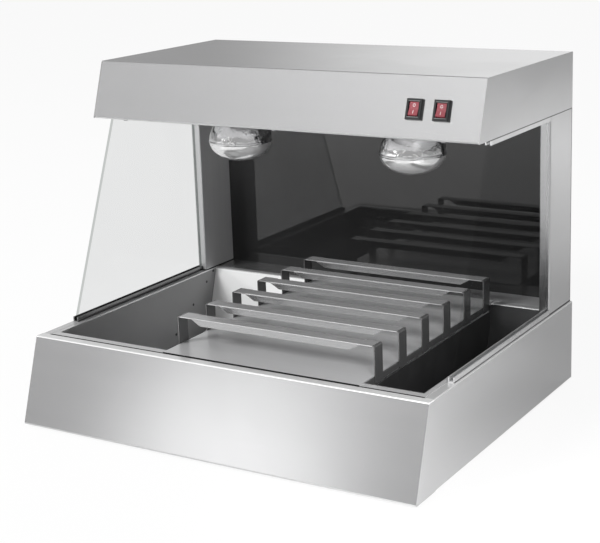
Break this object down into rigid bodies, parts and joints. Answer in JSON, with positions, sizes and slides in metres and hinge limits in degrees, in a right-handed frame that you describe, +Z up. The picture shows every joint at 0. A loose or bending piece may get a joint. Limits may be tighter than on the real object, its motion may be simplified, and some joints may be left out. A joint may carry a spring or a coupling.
{
  "type": "fry warmer",
  "caption": "Heated fry holding station with a deep chip pan, a lift-out rack of ribs, corner columns, a dark back panel, side glass and a lamp hood with rocker switches",
  "frame": {"origin": "centre of the bottom of the bounding box, at the underside of the feet", "axes": "+X to the right seen from the front, +Y from the front to the rear, +Z up"},
  "size_m": [0.7, 0.5941, 0.5545],
  "materials": {
    "body_steel": "brushed stainless sheet",
    "pan_steel": "satin stainless sheet",
    "rack_steel": "satin stainless sheet",
    "dark_panel": "dark polished, half reflecting",
    "channel_aluminium": "satin",
    "side_glass": "clear",
    "dark_rivet": "dark",
    "black_coat": "black coating",
    "lamp_glass": "silvered inside",
    "lamp_brass": "plain",
    "socket_ceramic": "plain",
    "bracket_steel": "zinc coated",
    "black_plastic": "fine grain",
    "red_plastic": "clear red",
    "screw_steel": "plain",
    "foot_rubber": "plain"
  },
  "bodies": {
    "housing": {"base_front_panel": "body_steel", "base_left_panel": "body_steel", "base_right_panel": "body_steel", "base_rear_panel": "body_steel", "base_rear_shelf": "body_steel", "base_bottom_plate": "body_steel", "rubber_feet": "foot_rubber", "left_column": "body_steel", "right_column": "body_steel", "back_cover": "body_steel", "back_mirror": "dark_panel", "hood_cover": "body_steel", "hood_lamp_plate": "body_steel", "hood_rear_cover": "body_steel", "left_bottom_channel": "channel_aluminium", "right_bottom_channel": "channel_aluminium", "left_top_channel": "channel_aluminium", "right_top_channel": "channel_aluminium", "left_glass": "side_glass", "right_glass": "side_glass", "left_lamp_bulb": "lamp_glass", "right_lamp_bulb": "lamp_glass", "left_lamp_cap": "lamp_brass", "right_lamp_cap": "lamp_brass", "left_lamp_socket": "socket_ceramic", "right_lamp_socket": "socket_ceramic", "left_socket_bracket": "bracket_steel", "right_socket_bracket": "bracket_steel", "left_switch_housing": "black_plastic", "right_switch_housing": "black_plastic", "switch_terminals": "lamp_brass", "terminal_block": "socket_ceramic", "cable_gland": "black_plastic", "gland_nut": "black_plastic", "hood_screws": "screw_steel", "rear_screws": "screw_steel", "bottom_screws": "screw_steel"},
    "pan": {"chip_pan": "pan_steel", "pan_rivets": "dark_rivet"},
    "rack": {"rack_plate": "rack_steel", "left_rack_rail": "rack_steel", "right_rack_rail": "rack_steel", "rib_1": "rack_steel", "rib_2": "rack_steel", "rib_3": "rack_steel", "rib_4": "rack_steel", "rib_5": "rack_steel", "rib_6": "rack_steel"},
    "crumb_tray": {"crumb_tray": "black_coat"},
    "left_rocker": {"left_switch_rocker": "red_plastic"},
    "right_rocker": {"right_switch_rocker": "red_plastic"}
  },
  "joints": [
    {"name": "pan_lift", "type": "slide", "parent": "housing", "child": "pan", "axis": [0, 0, 1], "range_m": [0, 0.12]},
    {"name": "rack_lift", "type": "slide", "parent": "pan", "child": "rack", "axis": [0, 0, 1], "range_m": [0, 0.06]},
    {"name": "crumb_tray_lift", "type": "slide", "parent": "pan", "child": "crumb_tray", "axis": [0, 0, 1], "range_m": [0, 0.12]},
    {"name": "left_switch_tilt", "type": "hinge", "parent": "housing", "child": "left_rocker", "pos_m": [0.239, -0.06586, 0.50654], "axis": [1, 0, 0], "range_deg": [0, 16]},
    {"name": "right_switch_tilt", "type": "hinge", "parent": "housing", "child": "right_rocker", "pos_m": [0.283, -0.06586, 0.50654], "axis": [1, 0, 0], "range_deg": [0, 16]}
  ]
}
